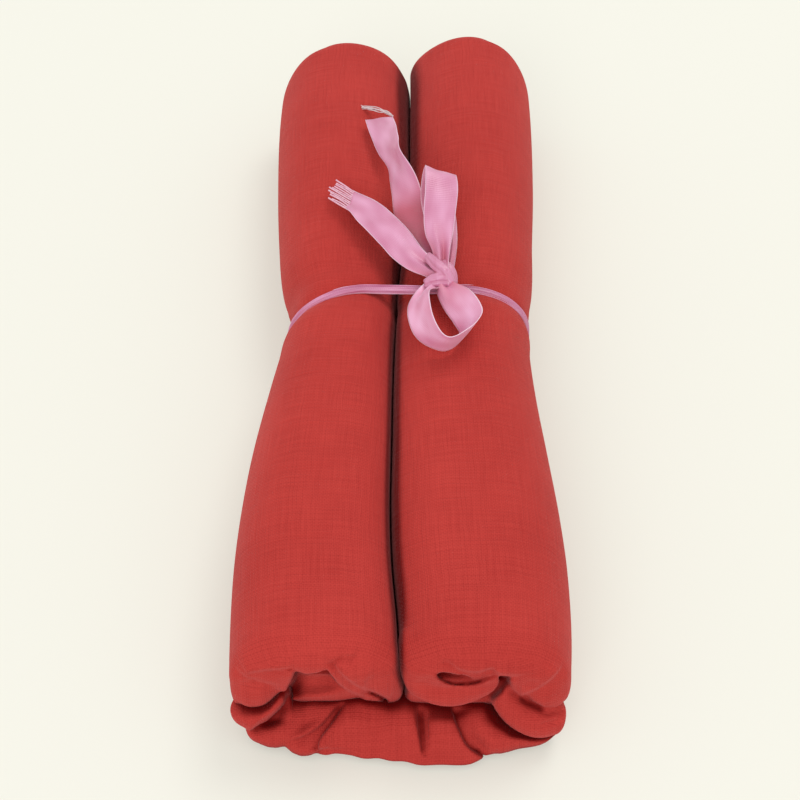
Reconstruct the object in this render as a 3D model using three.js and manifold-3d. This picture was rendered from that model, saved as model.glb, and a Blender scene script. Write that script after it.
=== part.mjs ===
// Rolled turban cloth, tied with a satin ribbon.
// A long cotton cloth is folded lengthwise into a soft pad and rolled up from both ends, so that two
// rolls lie side by side on the stretch of pad between them. One ribbon goes round the middle and
// ends in a knot with two loops and two cut tails.
// Millimetres. X runs across the rolls, Y along them with the near end at -Y, and Z is up.
// The origin is the bottom centre of the whole thing.
import * as THREE from 'three';
import Module from 'manifold-3d';
import { mergeVertices } from 'three/addons/utils/BufferGeometryUtils.js';

// Sizes of the cloth
const bundleLength = 400;
const bundleWidth = 136;
const bundleHeight = 63;
const padThickness = 16;
const padEdge = 2.4;
const frontStep = 15;
const farStep = 9;
const leftRollStep = 6;
const nearRound = 8;
const farTopRound = 7;
const farSideRound = 24;
const padRound = 9;
const gatherDepth = 12;
const mouthDepth = 19;
const lipDepth = 7;
const grooveGap = 0.6;
const clearance = 0.3;
const seatClearance = 0.5;

// Sizes of the ribbon
const ribbonWidth = 15;
const ribbonThickness = 1;
const wrapWidth = 6;
const wrapThickness = 2;
const knotWidth = 15;
const knotDepth = 12;
const knotHeight = 9;

// Shares of the whole that place the tie and shape the sections
const tieShare = 0.531;
const tieHalfShare = 0.013;
const knotShare = 0.25;
const roundness = 2.2;
const padFlatShare = 0.5;
const padTipShare = 0.31;

// How the ends are shaped: shares of the end round, of its closing and of the way to the middle
const roundSteps = [0, 0.3, 0.55, 0.78, 1];
const faceShares = [0.88, 0.74, 0.6, 0.46, 0.32, 0.16];
const padRoundSteps = [1, 0.8, 0.5, 0.22, 0];
const padRoundClosing = 0.9;
const gatherFade = 0.2;
const gatherReach = 1.4;
const knotPinch = 0.14;
const knotPinchWidth = 0.3;

// The bunched ribbon's cross-section: shares of its width and of its thickness, which points out
const WRAP_PROFILE = [
  { wide: -0.5, high: -0.3 },
  { wide: -0.5, high: 0.1 },
  { wide: -0.2, high: 0.5 },
  { wide: 0.2, high: 0.5 },
  { wide: 0.5, high: 0.1 },
  { wide: 0.5, high: -0.3 },
  { wide: 0.0, high: -0.5 },
];

// How finely the solids are cut into faces
const rollSides = 32;
const padColumns = 24;
const longSpan = 25;
const halvings = 24;
const wrapSteps = 18;
const knotSides = 14;
const knotRows = 10;
const tailSteps = 21;
const loopSteps = 34;
const alongShare = 0.01;

const halfWidth = bundleWidth / 2;
const nearEnd = -bundleLength / 2;
const farEnd = bundleLength / 2;
const tieY = nearEnd + tieShare * bundleLength;

// The bundle's outline from the near end to the far end: left, right and groove are shares of half
// the width, top and lift are shares of the height. Lift is where the tie pulls the underside up.
const SECTIONS = [
  { at: 0.00, left: 0.950, right: 0.955, groove: 0.030, top: 0.960, lift: 0.000 },
  { at: 0.09, left: 0.985, right: 0.998, groove: 0.010, top: 0.990, lift: 0.000 },
  { at: 0.17, left: 0.997, right: 1.000, groove: -0.030, top: 1.000, lift: 0.000 },
  { at: 0.24, left: 0.982, right: 0.976, groove: -0.045, top: 1.000, lift: 0.000 },
  { at: 0.32, left: 0.943, right: 0.932, groove: -0.044, top: 0.990, lift: 0.000 },
  { at: 0.41, left: 0.874, right: 0.881, groove: -0.043, top: 0.965, lift: 0.000 },
  { at: 0.48, left: 0.815, right: 0.852, groove: -0.037, top: 0.940, lift: 0.020 },
  { at: tieShare - tieHalfShare, left: 0.765, right: 0.855, groove: -0.030, top: 0.915, lift: 0.060 },
  { at: tieShare + tieHalfShare, left: 0.765, right: 0.855, groove: -0.030, top: 0.915, lift: 0.060 },
  { at: 0.59, left: 0.840, right: 0.900, groove: -0.015, top: 0.945, lift: 0.020 },
  { at: 0.66, left: 0.886, right: 0.916, groove: 0.010, top: 0.970, lift: 0.000 },
  { at: 0.76, left: 0.930, right: 0.951, groove: 0.044, top: 0.985, lift: 0.000 },
  { at: 0.88, left: 0.962, right: 0.968, groove: 0.037, top: 0.990, lift: 0.000 },
  { at: 1.00, left: 0.950, right: 0.955, groove: 0.030, top: 0.995, lift: 0.000 },
];

// The pad's folded near edge from its left tip to its right tip. At is the share of half the width,
// back is how far the edge stands back, as a share of the gathers' depth, and sink is how far its
// top dips, as a share of the pad's thickness.
const NEAR_GATHERS = [
  { at: -1.00, back: 1.00, sink: 0.00 },
  { at: -0.84, back: 0.72, sink: 0.05 },
  { at: -0.72, back: 0.80, sink: 0.20 },
  { at: -0.58, back: 0.34, sink: 0.00 },
  { at: -0.42, back: 0.58, sink: 0.38 },
  { at: -0.26, back: 0.28, sink: 0.05 },
  { at: -0.04, back: 0.26, sink: 0.00 },
  { at: 0.10, back: 0.16, sink: 0.40 },
  { at: 0.25, back: 0.00, sink: 0.05 },
  { at: 0.40, back: 0.12, sink: 0.12 },
  { at: 0.50, back: 0.34, sink: 0.30 },
  { at: 0.64, back: 0.62, sink: 0.45 },
  { at: 0.82, back: 0.76, sink: 0.10 },
  { at: 1.00, back: 1.10, sink: 0.00 },
];

// The pad's far edge, which is folded more evenly
const FAR_GATHERS = [
  { at: -1.00, back: 1.00, sink: 0.00 },
  { at: -0.60, back: 0.35, sink: 0.05 },
  { at: -0.30, back: 0.30, sink: 0.25 },
  { at: 0.00, back: 0.05, sink: 0.00 },
  { at: 0.35, back: 0.25, sink: 0.25 },
  { at: 0.62, back: 0.30, sink: 0.00 },
  { at: 1.00, back: 1.00, sink: 0.00 },
];

// Hollows and swellings on the rolls' end faces. Right and up are shares of the roll's half width
// and half height from its middle, wide and high are shares of the same, turn is in degrees, and
// deep is a share of the mouth's depth. A swelling has a negative depth.
const LEFT_MOUTH = [
  { right: -0.04, up: -0.06, wide: 0.42, high: 0.40, turn: 8, deep: 1.00 },
  { right: 0.54, up: -0.06, wide: 0.22, high: 0.46, turn: -20, deep: -0.35 },
  { right: -0.62, up: 0.06, wide: 0.26, high: 0.16, turn: -35, deep: 0.30 },
];
const RIGHT_MOUTH = [
  { right: -0.28, up: 0.26, wide: 0.40, high: 0.17, turn: -8, deep: 0.85 },
  { right: -0.38, up: -0.16, wide: 0.44, high: 0.26, turn: 14, deep: -0.30 },
  { right: 0.20, up: 0.00, wide: 0.15, high: 0.42, turn: -28, deep: 0.70 },
  { right: 0.56, up: 0.00, wide: 0.24, high: 0.40, turn: 20, deep: -0.20 },
];
const FAR_MOUTH = [
  { right: 0.05, up: -0.10, wide: 0.50, high: 0.34, turn: 12, deep: 0.55 },
  { right: -0.10, up: -0.20, wide: 0.20, high: 0.20, turn: 0, deep: -0.35 },
];

// How far the folded lip round each roll's near end stands back, as a share of the lip's depth. At
// is the share of a turn from +X, up and over the top to -X and back along the pad.
const LEFT_LIP = [
  { at: 0.00, back: 0.90 },
  { at: 0.12, back: 0.35 },
  { at: 0.22, back: 0.55 },
  { at: 0.32, back: 0.10 },
  { at: 0.42, back: 0.30 },
  { at: 0.50, back: 0.75 },
  { at: 0.60, back: 0.20 },
  { at: 0.75, back: 0.00 },
  { at: 0.90, back: 0.15 },
  { at: 1.00, back: 0.90 },
];
const RIGHT_LIP = [
  { at: 0.00, back: 0.80 },
  { at: 0.08, back: 0.25 },
  { at: 0.18, back: 0.10 },
  { at: 0.26, back: 0.40 },
  { at: 0.36, back: 0.45 },
  { at: 0.50, back: 0.85 },
  { at: 0.64, back: 0.10 },
  { at: 0.78, back: 0.00 },
  { at: 0.92, back: 0.30 },
  { at: 1.00, back: 0.80 },
];
const FAR_LIP = [
  { at: 0.00, back: 0.70 },
  { at: 0.30, back: 0.10 },
  { at: 0.50, back: 0.80 },
  { at: 0.75, back: 0.00 },
  { at: 1.00, back: 0.70 },
];

// The ribbon's free pieces, from the knot outwards. Right, back and up place the ribbon's middle
// from the knot, in ribbon widths, with up counted from the taut line over both rolls. Face is the
// way that the ribbon's width points, in degrees from +X, lean is how steeply it rises, and wide
// is the share of the full width that is spread out.
const UPPER_TAIL = [
  { right: 0.00, back: 0.10, up: 0.10, face: 10, lean: 0, wide: 0.36 },
  { right: -0.12, back: 1.30, up: 0.12, face: 16, lean: 6, wide: 0.60 },
  { right: -0.57, back: 2.50, up: 0.26, face: 33, lean: 12, wide: 0.85 },
  { right: -0.82, back: 3.12, up: 0.32, face: 42, lean: 6, wide: 1.00 },
  { right: -1.03, back: 3.73, up: 0.40, face: 38, lean: 12, wide: 1.00 },
  { right: -1.29, back: 4.44, up: 0.50, face: 20, lean: 42, wide: 1.00 },
  { right: -1.47, back: 5.41, up: 0.55, face: 8, lean: 54, wide: 1.00 },
  { right: -1.78, back: 6.71, up: 0.40, face: -8, lean: 42, wide: 1.00 },
  { right: -2.03, back: 7.87, up: 0.20, face: -8, lean: 20, wide: 0.92 },
];
const LEFT_TAIL = [
  { right: -0.02, back: 0.04, up: 0.34, face: 50, lean: 0, wide: 0.42 },
  { right: -0.32, back: 0.30, up: 0.36, face: 48, lean: 6, wide: 0.56 },
  { right: -0.78, back: 0.73, up: 0.38, face: 52, lean: 14, wide: 0.80 },
  { right: -1.16, back: 1.22, up: 0.38, face: 50, lean: 16, wide: 1.00 },
  { right: -1.49, back: 1.63, up: 0.46, face: 48, lean: 14, wide: 1.00 },
  { right: -1.96, back: 2.23, up: 0.48, face: 46, lean: 10, wide: 1.00 },
  { right: -2.32, back: 2.71, up: 0.46, face: 56, lean: 6, wide: 0.95 },
  { right: -2.75, back: 3.43, up: 0.38, face: 74, lean: 0, wide: 0.90 },
  { right: -3.53, back: 4.10, up: 0.24, face: 100, lean: 0, wide: 1.00 },
];
const UPPER_LOOP = [
  { right: 0.00, back: 0.10, up: 0.50, face: 0, lean: 0, wide: 0.42 },
  { right: 0.02, back: 0.85, up: 0.60, face: 8, lean: 0, wide: 0.52 },
  { right: -0.04, back: 1.40, up: 0.82, face: 12, lean: 4, wide: 0.88 },
  { right: -0.03, back: 1.98, up: 1.08, face: 8, lean: 4, wide: 1.00 },
  { right: 0.02, back: 2.62, up: 1.36, face: 2, lean: 0, wide: 1.00 },
  { right: 0.00, back: 3.12, up: 1.50, face: -12, lean: 0, wide: 1.00 },
  { right: -0.03, back: 3.44, up: 1.32, face: -16, lean: 0, wide: 1.00 },
  { right: -0.06, back: 3.34, up: 0.98, face: -10, lean: 0, wide: 1.00 },
  { right: -0.03, back: 2.70, up: 0.72, face: 0, lean: 0, wide: 1.00 },
  { right: 0.20, back: 1.95, up: 0.52, face: 6, lean: -6, wide: 0.95 },
  { right: 0.30, back: 1.20, up: 0.34, face: 6, lean: -6, wide: 0.66 },
  { right: 0.16, back: 0.10, up: 0.16, face: 0, lean: 0, wide: 0.40 },
];
const LOWER_LOOP = [
  { right: 0.05, back: -0.10, up: 0.30, face: 10, lean: 0, wide: 0.40 },
  { right: 0.22, back: -0.62, up: 0.32, face: 12, lean: 12, wide: 0.85 },
  { right: 0.40, back: -1.15, up: 0.34, face: 14, lean: 26, wide: 1.00 },
  { right: 0.62, back: -1.80, up: 0.42, face: 24, lean: 34, wide: 1.00 },
  { right: 0.66, back: -2.34, up: 0.52, face: 40, lean: 58, wide: 1.00 },
  { right: 0.40, back: -2.66, up: 0.55, face: 70, lean: 72, wide: 1.00 },
  { right: 0.02, back: -2.62, up: 0.52, face: 70, lean: 70, wide: 1.00 },
  { right: -0.38, back: -2.12, up: 0.50, face: 30, lean: 62, wide: 1.00 },
  { right: -0.66, back: -1.34, up: 0.44, face: 12, lean: 56, wide: 1.00 },
  { right: -0.62, back: -0.62, up: 0.32, face: -6, lean: 46, wide: 0.80 },
  { right: -0.10, back: -0.04, up: 0.16, face: -20, lean: 10, wide: 0.42 },
];

// A table's column at a place between its rows, along one smooth curve
function columnAt(table, at, column) {
  const last = table.length - 1;
  let row = 0;
  while (row < last - 1 && at > table[row + 1].at) row += 1;
  const slopeAt = (index) => {
    const before = table[Math.max(index - 1, 0)];
    const after = table[Math.min(index + 1, last)];
    return (after[column] - before[column]) / (after.at - before.at);
  };
  const from = table[row];
  const to = table[row + 1];
  const span = to.at - from.at;
  const t = THREE.MathUtils.clamp((at - from.at) / span, 0, 1);
  const ease = t * t * (3 - 2 * t);
  const bend = t * (1 - t) * span;
  return THREE.MathUtils.lerp(from[column], to[column], ease)
    + bend * ((1 - t) * slopeAt(row) - t * slopeAt(row + 1));
}

// Everything that a cut across the bundle at one Y needs
function sectionAt(y) {
  const at = (y - nearEnd) / bundleLength;
  const left = columnAt(SECTIONS, at, 'left') * halfWidth;
  const right = columnAt(SECTIONS, at, 'right') * halfWidth;
  const groove = columnAt(SECTIONS, at, 'groove') * halfWidth;
  const lift = Math.max(columnAt(SECTIONS, at, 'lift'), 0) * bundleHeight;
  const top = columnAt(SECTIONS, at, 'top') * bundleHeight;
  const rolls = {
    left: { middle: (groove - grooveGap / 2 - left) / 2, half: (groove - grooveGap / 2 + left) / 2 },
    right: { middle: (groove + grooveGap / 2 + right) / 2, half: (right - groove - grooveGap / 2) / 2 },
  };
  return { left, right, lift, rolls, middle: (top + lift) / 2, half: (top - lift) / 2, top };
}

// A sine or cosine, swollen towards the corners of a rounded section
function rounded(value) {
  return Math.sign(value) * Math.abs(value) ** (2 / roundness);
}

// How high a rounded roll reaches above its own middle at x
function rise(roll, x, half) {
  const share = Math.min(Math.abs(x - roll.middle) / roll.half, 1);
  return half * (1 - share ** roundness) ** (1 / roundness);
}

// The outer surface of the bundle below its widest line, flat between the two rolls' middles
function undersideAt(section, x) {
  const roll = x < 0 ? section.rolls.left : section.rolls.right;
  const outward = Math.abs(x) > Math.abs(roll.middle);
  return outward ? section.middle - rise(roll, x, section.half) : section.lift;
}

// The taut line over both rolls, flat between their middles
function tautLineAt(section, x) {
  const roll = x < 0 ? section.rolls.left : section.rolls.right;
  const outward = Math.abs(x) > Math.abs(roll.middle);
  return section.middle + (outward ? rise(roll, x, section.half) : section.half);
}

// The upper surface of the pad, on which both rolls lie: flat under them and rising at the sides
function padTopAt(section, x) {
  const side = x < 0 ? section.left : section.right;
  const climb = THREE.MathUtils.smoothstep(Math.abs(x) / side, padFlatShare, 1);
  const tip = padTipShare * section.top;
  return section.lift + padThickness + (tip - padThickness) * climb * climb;
}

function middleOf(ring) {
  return ring.reduce((sum, point) => sum.add(point), new THREE.Vector3()).divideScalar(ring.length);
}

// A closed mesh through rings of equal length, ended by a middle point at both ends
function skin(rings) {
  const count = rings[0].length;
  const points = rings.flat();
  points.push(middleOf(rings[0]), middleOf(rings[rings.length - 1]));
  const [first, last] = [points.length - 2, points.length - 1];
  const lastRing = (rings.length - 1) * count;
  const faces = [];
  for (let i = 0; i < count; i += 1) {
    const next = (i + 1) % count;
    faces.push(first, next, i, last, lastRing + i, lastRing + next);
    for (let ring = 0; ring < rings.length - 1; ring += 1) {
      const near = ring * count;
      const far = near + count;
      faces.push(near + i, near + next, far + next, near + i, far + next, far + i);
    }
  }
  return meshGeometry(points, faces);
}

// A closed mesh through flat rings whose first and second half face each other, such as a pad or
// a strip, ended by bands between the two halves
function foldedSkin(rings) {
  const count = rings[0].length;
  const points = rings.flat();
  const faces = [];
  const endBands = (start, outward) => {
    for (let i = 0; i < count / 2 - 1; i += 1) {
      const band = [start + i, start + i + 1, start + count - 2 - i, start + count - 1 - i];
      const [a, b, c, d] = outward ? band : [...band].reverse();
      faces.push(a, b, c, a, c, d);
    }
  };
  endBands(0, false);
  for (let ring = 0; ring < rings.length - 1; ring += 1) {
    const near = ring * count;
    const far = near + count;
    for (let i = 0; i < count; i += 1) {
      const next = (i + 1) % count;
      faces.push(near + i, near + next, far + next, near + i, far + next, far + i);
    }
  }
  endBands((rings.length - 1) * count, true);
  return meshGeometry(points, faces);
}

// A geometry from points and triangles, turned so that its faces point out
function meshGeometry(points, faces) {
  const geometry = new THREE.BufferGeometry().setFromPoints(points);
  let volume = 0;
  for (let i = 0; i < faces.length; i += 3) {
    const [a, b, c] = [points[faces[i]], points[faces[i + 1]], points[faces[i + 2]]];
    volume += a.dot(new THREE.Vector3().crossVectors(b, c));
  }
  geometry.setIndex(volume > 0 ? faces : [...faces].reverse());
  return geometry;
}

// Steps along the cloth between its two rounded ends: the table's rows, and halfway on long spans
function clothSteps(from, to) {
  const rows = SECTIONS.map((row) => nearEnd + row.at * bundleLength)
    .filter((y) => y > from + nearRound && y < to - nearRound);
  const steps = [from, ...rows, to];
  const halfway = steps.slice(1).map((y, index) => [(y + steps[index]) / 2, y - steps[index]])
    .filter(([, span]) => span > longSpan)
    .map(([middle]) => middle);
  return [...steps, ...halfway].sort((a, b) => a - b);
}

// Depth of an end face at a place in the roll's section, from its table of hollows and swellings
function mouthDepthAt(mouth, right, up) {
  let depth = 0;
  for (const dent of mouth) {
    const turn = THREE.MathUtils.degToRad(dent.turn);
    const dx = right - dent.right;
    const dz = up - dent.up;
    const along = (dx * Math.cos(turn) + dz * Math.sin(turn)) / dent.wide;
    const across = (dz * Math.cos(turn) - dx * Math.sin(turn)) / dent.high;
    depth += dent.deep * Math.exp(-((along * along + across * across) ** 1.5));
  }
  return depth * mouthDepth;
}

// One roll of wound cloth, lying on the pad
function rollGeometry(side, nearMouth, nearLip) {
  const nearY = nearEnd + frontStep;
  const farY = farEnd - (side === 'left' ? leftRollStep : 0);
  const ringAt = (y) => {
    const section = sectionAt(y);
    const roll = section.rolls[side];
    return Array.from({ length: rollSides }, (_, index) => {
      const angle = 2 * Math.PI * index / rollSides;
      const x = roll.middle + rounded(Math.cos(angle)) * roll.half;
      const z = section.middle + rounded(Math.sin(angle)) * section.half;
      return new THREE.Vector3(x, y, Math.max(z, padTopAt(section, x) + seatClearance));
    });
  };
  const endRings = (y, away, topRound, sideRound, mouth, lipTable) => {
    const { half } = sectionAt(y).rolls[side];
    const rim = roundSteps.map((step) => {
      const angle = step * Math.PI / 2;
      const ring = ringAt(y + away * sideRound);
      const middle = middleOf(ring);
      ring.forEach((point, index) => {
        const share = index / rollSides;
        const round = THREE.MathUtils.lerp(topRound, sideRound, Math.cos(2 * Math.PI * share) ** 2);
        const back = step * lipDepth * columnAt(lipTable, share, 'back');
        point.lerp(middle, round * (1 - Math.cos(angle)) / half);
        point.y = y + away * (round * (1 - Math.sin(angle)) + back);
      });
      return ring;
    });
    const lip = rim[rim.length - 1];
    const middle = middleOf(lip);
    const tall = sectionAt(y).half;
    const faces = faceShares.map((share) => lip.map((point) => {
      const inner = point.clone().lerp(middle, 1 - share);
      const right = (inner.x - middle.x) / half;
      const up = (inner.z - middle.z) / tall;
      inner.y += away * mouthDepthAt(mouth, right, up);
      return inner;
    }));
    return [...rim, ...faces];
  };
  const near = endRings(nearY, 1, nearRound, nearRound, nearMouth, nearLip).reverse();
  const far = endRings(farY, -1, farTopRound, farSideRound, FAR_MOUTH, FAR_LIP);
  const steps = clothSteps(nearY + nearRound, farY - farSideRound).slice(1, -1);
  return skin([...near, ...steps.map(ringAt), ...far]);
}

// The stretch of pad between the two rolls, which lies under them and turns up at both sides
function padGeometry() {
  const columnX = (section, index) => {
    const spread = 2 * index / (padColumns - 1) - 1;
    const share = (spread + Math.sin(spread * Math.PI / 2)) / 2;
    const side = share < 0 ? section.left : section.right;
    let inner = 0;
    let outer = 1;
    for (let step = 0; step < halvings; step += 1) {
      const trial = (inner + outer) / 2;
      const x = Math.sign(share) * trial * side;
      const thick = padTopAt(section, x) - undersideAt(section, x);
      if (thick > padEdge) inner = trial;
      else outer = trial;
    }
    return { x: share * inner * side, share };
  };
  const ringAt = (y, shrink, place) => {
    const section = sectionAt(y);
    const lower = [];
    const upper = [];
    for (let index = 0; index < padColumns; index += 1) {
      const { x, share } = columnX(section, index);
      const bottom = undersideAt(section, x);
      const { yOut, sink } = place(share);
      const top = padTopAt(section, x) - sink * padThickness;
      const inset = shrink * (top - bottom) / 2;
      lower.push(new THREE.Vector3(x, yOut, bottom + inset));
      upper.push(new THREE.Vector3(x, yOut, top - inset));
    }
    return [...lower, ...upper.reverse()];
  };
  const edgeRings = (y, away, gathers) => padRoundSteps.map((share) => {
    const angle = share * Math.PI / 2;
    const fade = 1 - share * gatherFade;
    const inward = padRound * (1 - Math.sin(angle));
    return ringAt(y + away * padRound, padRoundClosing * (1 - Math.cos(angle)), (at) => ({
      yOut: y + away * (gatherDepth * columnAt(gathers, at, 'back') + inward),
      sink: columnAt(gathers, at, 'sink') * fade,
    }));
  });
  const farY = farEnd - farStep;
  const deepest = gatherReach * gatherDepth + padRound;
  const near = edgeRings(nearEnd, 1, NEAR_GATHERS);
  const far = edgeRings(farY, -1, FAR_GATHERS).reverse();
  const steps = clothSteps(nearEnd + deepest, farY - deepest);
  const straight = steps.map((y) => ringAt(y, 0, () => ({ yOut: y, sink: 0 })));
  return foldedSkin([...near, ...straight, ...far]);
}

// The bunched ribbon that goes round the bundle at the tie: a flattened ring along the taut line,
// or with grow the room that it needs
function wrapGeometry(grow = 0) {
  const section = sectionAt(tieY);
  const seat = seatClearance + wrapThickness / 2;
  const outline = [];
  const addArc = (roll, fromAngle) => {
    for (let step = 0; step <= wrapSteps; step += 1) {
      const angle = fromAngle - Math.PI * step / wrapSteps;
      outline.push([
        roll.middle + rounded(Math.cos(angle)) * (roll.half + seat),
        section.middle + rounded(Math.sin(angle)) * (section.half + seat),
      ]);
    }
  };
  addArc(section.rolls.right, Math.PI / 2);
  addArc(section.rolls.left, -Math.PI / 2);
  const rings = outline.map(([x, z], index) => {
    const [before, after] = [outline.at(index - 1), outline[(index + 1) % outline.length]];
    const out = new THREE.Vector2(before[1] - after[1], after[0] - before[0]).normalize();
    return WRAP_PROFILE.map(({ wide, high }) => new THREE.Vector3(
      x + out.x * high * (wrapThickness + 2 * grow),
      tieY + wide * (wrapWidth + 2 * grow),
      z + out.y * high * (wrapThickness + 2 * grow),
    ));
  });
  const count = WRAP_PROFILE.length;
  const faces = [];
  rings.forEach((_, ring) => {
    const near = ring * count;
    const far = ((ring + 1) % rings.length) * count;
    for (let i = 0; i < count; i += 1) {
      const next = (i + 1) % count;
      faces.push(near + i, near + next, far + next, near + i, far + next, far + i);
    }
  });
  return meshGeometry(rings.flat(), faces);
}

const knotX = knotShare * halfWidth;
const wrapTop = tautLineAt(sectionAt(tieY), knotX) + seatClearance + wrapThickness;
const knotMiddle = new THREE.Vector3(knotX, tieY, wrapTop + clearance + knotHeight / 2);

// The knot: a rounded lump, pinched where the last turn of ribbon crosses it
function knotGeometry(grow = 0) {
  const geometry = new THREE.SphereGeometry(1, knotSides, knotRows);
  const place = geometry.attributes.position;
  for (let index = 0; index < place.count; index += 1) {
    const point = new THREE.Vector3().fromBufferAttribute(place, index);
    const pinch = 1 - knotPinch * Math.exp(-((point.x / knotPinchWidth) ** 2));
    place.setXYZ(
      index,
      knotMiddle.x + point.x * (knotWidth / 2 + grow),
      knotMiddle.y + point.y * (knotDepth / 2 * pinch + grow),
      knotMiddle.z + point.z * (knotHeight / 2 * pinch + grow),
    );
  }
  return geometry;
}

// One free piece of ribbon along its table's rows, or with grow the room that it needs
function ribbonGeometry(rows, steps, grow = 0) {
  const centres = rows.map((row) => new THREE.Vector3(
    row.right * ribbonWidth, row.back * ribbonWidth, row.up * ribbonWidth,
  ));
  const turns = rows.map((row) => new THREE.Vector3(row.face, row.lean, row.wide));
  const route = new THREE.CatmullRomCurve3(centres);
  const turning = new THREE.CatmullRomCurve3(turns);
  const placeAt = (share) => {
    const point = route.getPoint(share);
    const [x, y] = [knotMiddle.x + point.x, knotMiddle.y + point.y];
    const laid = tautLineAt(sectionAt(y), x) + clearance + ribbonThickness;
    return new THREE.Vector3(x, y, laid + point.z);
  };
  const rings = Array.from({ length: steps + 1 }, (_, step) => {
    const share = step / steps;
    const centre = placeAt(share);
    const turn = turning.getPoint(share);
    const [face, lean] = [THREE.MathUtils.degToRad(turn.x), THREE.MathUtils.degToRad(turn.y)];
    const across = new THREE.Vector3(
      Math.cos(face) * Math.cos(lean), Math.sin(face) * Math.cos(lean), Math.sin(lean),
    );
    const ahead = placeAt(Math.min(share + alongShare, 1)).sub(placeAt(Math.max(share - alongShare, 0)));
    const normal = new THREE.Vector3().crossVectors(across, ahead).normalize();
    const corner = (wide, high) => centre.clone()
      .addScaledVector(across, wide * (turn.z * ribbonWidth / 2 + grow))
      .addScaledVector(normal, high * (ribbonThickness / 2 + grow));
    return [corner(-1, -1), corner(0, -1), corner(1, -1), corner(1, 1), corner(0, 1), corner(-1, 1)];
  });
  return foldedSkin(rings);
}

const wasm = await Module();
wasm.setup();

// A solid from a geometry, with shared vertices merged
function solidFrom(geometry) {
  const bare = geometry.clone();
  bare.deleteAttribute('normal');
  bare.deleteAttribute('uv');
  const merged = mergeVertices(bare, 1e-4);
  return new wasm.Manifold(new wasm.Mesh({
    numProp: 3,
    vertProperties: new Float32Array(merged.attributes.position.array),
    triVerts: new Uint32Array(merged.index.array),
  }));
}

function geometryFrom(solid) {
  const mesh = solid.getMesh();
  const geometry = new THREE.BufferGeometry();
  geometry.setAttribute('position', new THREE.BufferAttribute(new Float32Array(mesh.vertProperties), 3));
  geometry.setIndex(new THREE.BufferAttribute(new Uint32Array(mesh.triVerts), 1));
  return geometry;
}

// Each free piece starts at the knot's face, and gives way to the pieces that lie under it
let roomTaken = solidFrom(knotGeometry(clearance)).add(solidFrom(wrapGeometry(clearance)));
function freePiece(rows, steps) {
  const whole = solidFrom(ribbonGeometry(rows, steps)).subtract(roomTaken);
  roomTaken = roomTaken.add(solidFrom(ribbonGeometry(rows, steps, clearance)));
  const parts = whole.decompose().sort((a, b) => b.volume() - a.volume());
  return geometryFrom(parts[0]);
}

const clothMaterial = () => new THREE.MeshStandardMaterial({
  color: 0xb9403d, roughness: 0.95, metalness: 0,
});
const satinMaterial = () => new THREE.MeshStandardMaterial({
  color: 0xe29ac0, roughness: 0.38, metalness: 0,
});

const group = new THREE.Group();
function addPiece(name, geometry, material) {
  const mesh = new THREE.Mesh(geometry, material);
  mesh.name = name;
  group.add(mesh);
}

addPiece('base_pad', padGeometry(), clothMaterial());
addPiece('left_roll', rollGeometry('left', LEFT_MOUTH, LEFT_LIP), clothMaterial());
addPiece('right_roll', rollGeometry('right', RIGHT_MOUTH, RIGHT_LIP), clothMaterial());
addPiece('ribbon_wrap', wrapGeometry(), satinMaterial());
addPiece('ribbon_knot', knotGeometry(), satinMaterial());
addPiece('upper_tail', freePiece(UPPER_TAIL, tailSteps), satinMaterial());
addPiece('left_tail', freePiece(LEFT_TAIL, tailSteps), satinMaterial());
addPiece('upper_loop', freePiece(UPPER_LOOP, loopSteps), satinMaterial());
addPiece('lower_loop', freePiece(LOWER_LOOP, loopSteps), satinMaterial());

export default group;
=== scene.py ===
# Looks of a rolled turban cloth, tied with a satin ribbon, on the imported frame.
# Lengths are millimetres until a mesh is made, and metres for the lights and the camera. X runs
# across the rolls, Y along them from the near end, Z is up.
import math

import bpy
import numpy as np
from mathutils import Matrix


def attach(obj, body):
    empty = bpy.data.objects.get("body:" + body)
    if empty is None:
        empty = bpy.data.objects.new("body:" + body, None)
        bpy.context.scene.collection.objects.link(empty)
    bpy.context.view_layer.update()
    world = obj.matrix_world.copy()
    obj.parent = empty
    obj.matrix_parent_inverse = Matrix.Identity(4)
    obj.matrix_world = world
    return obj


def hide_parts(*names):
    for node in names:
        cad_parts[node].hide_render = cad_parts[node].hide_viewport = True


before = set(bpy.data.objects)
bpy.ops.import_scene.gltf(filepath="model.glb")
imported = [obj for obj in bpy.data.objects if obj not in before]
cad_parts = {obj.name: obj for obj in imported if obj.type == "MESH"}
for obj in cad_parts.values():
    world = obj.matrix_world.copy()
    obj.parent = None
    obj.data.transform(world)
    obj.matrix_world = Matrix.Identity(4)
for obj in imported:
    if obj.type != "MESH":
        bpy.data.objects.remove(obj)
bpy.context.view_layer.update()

# ---- Sizes, as in the frame ----
LENGTH = 400.0
WIDTH = 136.0
HEIGHT = 63.0
PAD_THICK = 16.0
PAD_TIP = 0.31  # how high the pad's sides turn up, as a share of the rolls' height
GAP = 0.16  # between the rolls
SEAT = 0.5  # between a roll and the pad
PRESS = 2.4  # how far the rolls flatten each other
TIE_DEPTH = 1.2  # how far the ribbon sinks into the cloth
TIE_AT = 0.531  # where the ribbon runs, as a share of the length
NEAR = -LENGTH / 2
FAR = LENGTH / 2
TIE_Y = NEAR + TIE_AT * LENGTH
FRONT = -185.0  # where the rolls' near ends begin
ROLL_RADIUS = 32
OUTER_POWER = 2.2  # how square a roll's section is at its outer side
INNER_POWER = 2.7  # and beside the groove

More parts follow.
